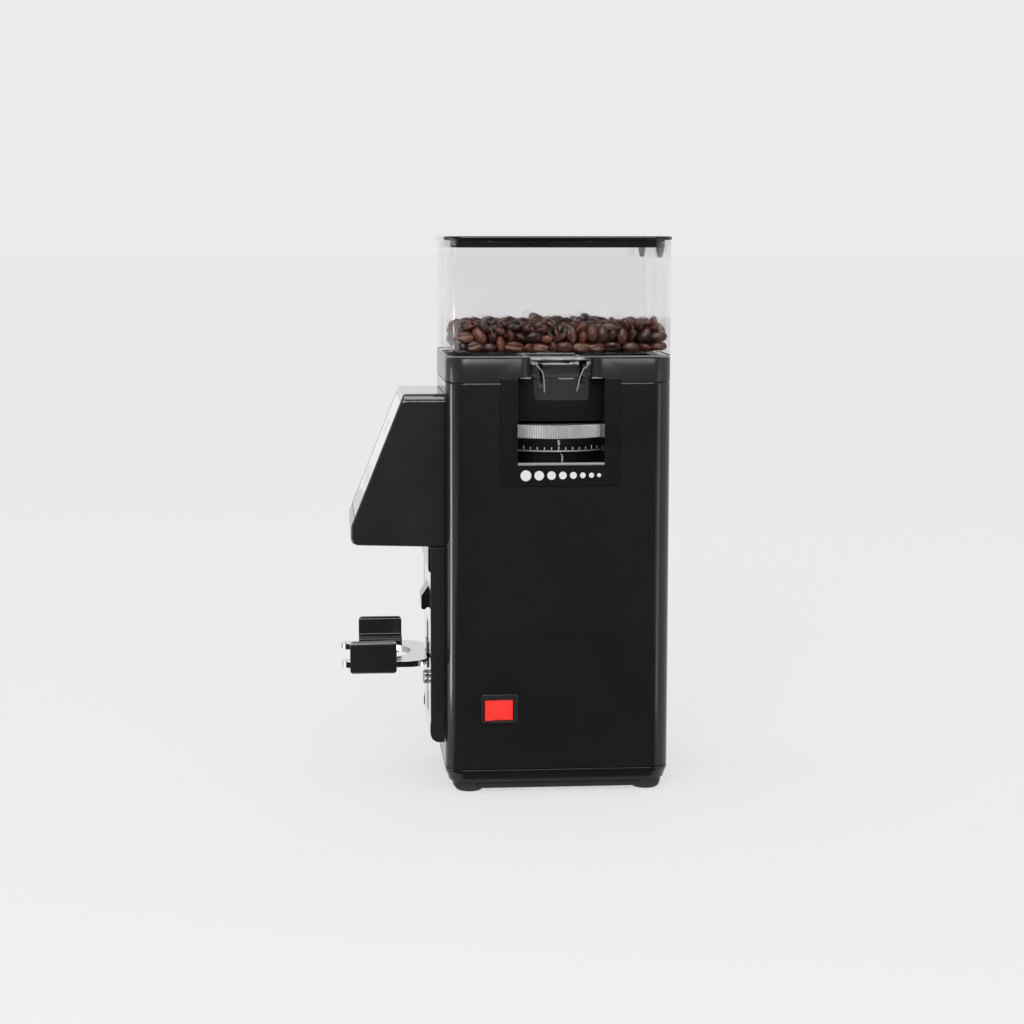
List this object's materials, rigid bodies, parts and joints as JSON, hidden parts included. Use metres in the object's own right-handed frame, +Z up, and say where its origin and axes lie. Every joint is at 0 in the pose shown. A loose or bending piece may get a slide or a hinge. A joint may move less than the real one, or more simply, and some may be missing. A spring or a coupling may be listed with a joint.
{
  "type": "burr coffee grinder",
  "caption": "Compact doserless burr coffee grinder: boxy body, clear bean hopper with lid, adjustment ring in a side window, sloped front panel and portafilter fork.",
  "frame": {"origin": "on the worktop, under the middle of the machine's overall box", "axes": "+Z up, -Y towards the portafilter side, +X towards the side with the adjustment window and the mains switch"},
  "size_m": [0.1236, 0.2179, 0.3664],
  "materials": {
    "black_shell": "satin black powder coat",
    "black_plastic": "fine-textured black moulding",
    "black_gloss": "polished black moulding",
    "pad_rubber": "glossy black rubber",
    "foot_rubber": "matt black rubber",
    "clear_plastic": "clear polycarbonate, drawn as glass",
    "display_glass": "black-backed gloss touch panel",
    "circuit_board": "green circuit board",
    "polished_steel": "polished stainless steel",
    "satin_steel": "satin machined steel",
    "hard_steel": "ground hardened steel",
    "cast_alloy": "die-cast alloy",
    "ring_alloy": "knurled bright alloy",
    "brass": "turned brass",
    "winding_copper": "enamelled copper winding",
    "laminations": "stacked steel laminations",
    "red_switch": "translucent red rocker",
    "white_plastic": "white capacitor can"
  },
  "bodies": {
    "base": {"base_tray": "black_plastic", "body_shell": "black_shell", "foot_front_right": "foot_rubber", "foot_front_left": "foot_rubber", "foot_rear_right": "foot_rubber", "foot_rear_left": "foot_rubber", "base_screw_1": "satin_steel", "base_screw_2": "satin_steel", "base_screw_3": "satin_steel", "base_screw_4": "satin_steel", "top_collar": "black_plastic", "side_bezel": "black_plastic", "recess_panel": "black_plastic", "front_housing": "black_plastic", "display_panel": "display_glass", "display_board": "circuit_board", "front_column": "black_plastic", "column_face_plate": "polished_steel", "column_top_trim": "black_plastic", "outlet_chute": "black_plastic", "start_microswitch": "black_gloss", "rocker_bezel": "black_plastic", "power_inlet": "black_plastic", "inner_frame": "satin_steel", "motor_end_bell_top": "cast_alloy", "motor_end_bell_bottom": "cast_alloy", "motor_bearing_top": "hard_steel", "motor_bearing_bottom": "hard_steel", "motor_stator": "laminations", "motor_winding_top": "winding_copper", "motor_winding_bottom": "winding_copper", "run_capacitor": "white_plastic", "control_board": "circuit_board", "grind_chamber": "cast_alloy", "feed_throat": "black_plastic"},
    "hopper": {"hopper_body": "clear_plastic"},
    "hopper_shutter": {"hopper_shutter": "clear_plastic"},
    "hopper_lid": {"hopper_lid": "black_gloss"},
    "adjust_ring": {"adjust_ring": "ring_alloy", "scale_band": "black_plastic"},
    "upper_burr_unit": {"upper_burr_carrier": "brass", "upper_burr": "hard_steel"},
    "rotor": {"motor_shaft": "satin_steel", "motor_rotor": "laminations", "motor_fan": "black_plastic", "lower_burr_carrier": "brass", "lower_burr": "hard_steel"},
    "fork": {"fork_carriage": "black_plastic", "portafilter_fork": "polished_steel", "fork_pad_right": "pad_rubber", "fork_pad_left": "pad_rubber"},
    "clamp_screw": {"fork_clamp_screw": "polished_steel"},
    "start_trigger": {"start_trigger": "black_plastic"},
    "rocker_button": {"rocker_button": "red_switch"}
  },
  "joints": [
    {"name": "hopper_lift", "type": "slide", "parent": "base", "child": "hopper", "axis": [0, 0, 1], "range_m": [0, 0.03]},
    {"name": "lid_lift", "type": "slide", "parent": "hopper", "child": "hopper_lid", "axis": [0, 0, 1], "range_m": [0, 0.03]},
    {"name": "shutter_slide", "type": "slide", "parent": "hopper", "child": "hopper_shutter", "axis": [1, 0, 0], "range_m": [0, 0.036]},
    {"name": "ring_turn", "type": "hinge", "parent": "base", "child": "adjust_ring", "pos_m": [0, 0.03575, 0.233], "axis": [0, 0, 1], "range_deg": [-150, 150]},
    {"name": "burr_rise", "type": "slide", "parent": "adjust_ring", "child": "upper_burr_unit", "axis": [0, 0, 1], "range_m": [-0.0007, 0.0007]},
    {"name": "rotor_spin", "type": "hinge", "parent": "base", "child": "rotor", "pos_m": [0, 0.03575, 0.1425], "axis": [0, 0, 1], "continuous": true},
    {"name": "fork_height", "type": "slide", "parent": "base", "child": "fork", "axis": [0, 0, 1], "range_m": [-0.012, 0.012]},
    {"name": "clamp_screw_turn", "type": "hinge", "parent": "fork", "child": "clamp_screw", "pos_m": [0, -0.04865, 0.0664], "axis": [0, -1, 0], "range_deg": [-360, 0]},
    {"name": "start_trigger_press", "type": "slide", "parent": "base", "child": "start_trigger", "axis": [0, 1, 0], "range_m": [0, 0.003], "stiffness_N_per_m": 600},
    {"name": "rocker_tilt", "type": "hinge", "parent": "base", "child": "rocker_button", "pos_m": [0.0606, -0.0049, 0.0563], "axis": [0, 0, -1], "range_deg": [0, 14]}
  ],
  "couplings": [
    {"joint": "burr_rise", "follows": "ring_turn", "m_per_rad": 0.00023873}
  ]
}
